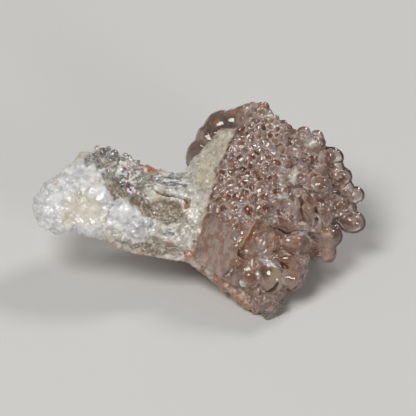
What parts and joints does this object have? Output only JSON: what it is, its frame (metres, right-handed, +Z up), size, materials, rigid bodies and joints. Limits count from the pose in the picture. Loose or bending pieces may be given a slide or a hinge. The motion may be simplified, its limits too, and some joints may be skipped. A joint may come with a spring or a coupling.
{
  "type": "hyalite opal specimen",
  "caption": "Mineral specimen: a pale arm of broken rock whose thick end carries a crust of glassy, pinkish-brown botryoidal hyalite opal.",
  "frame": {"origin": "middle of the underside of the specimen's box, on the surface that it rests on", "axes": "+Z up, +X along the specimen from the pale arm to the opal crust, -Y towards the picture's viewer"},
  "size_m": [0.0304, 0.0184, 0.0125],
  "materials": {
    "stone": "broken, granular, glistening",
    "pink_opal": "glassy, lumpy",
    "clear_opal": "glassy drops"
  },
  "bodies": {
    "root": {"matrix": "stone", "hyalite_crust": "pink_opal", "hyalite_cluster": "clear_opal"}
  },
  "joints": []
}
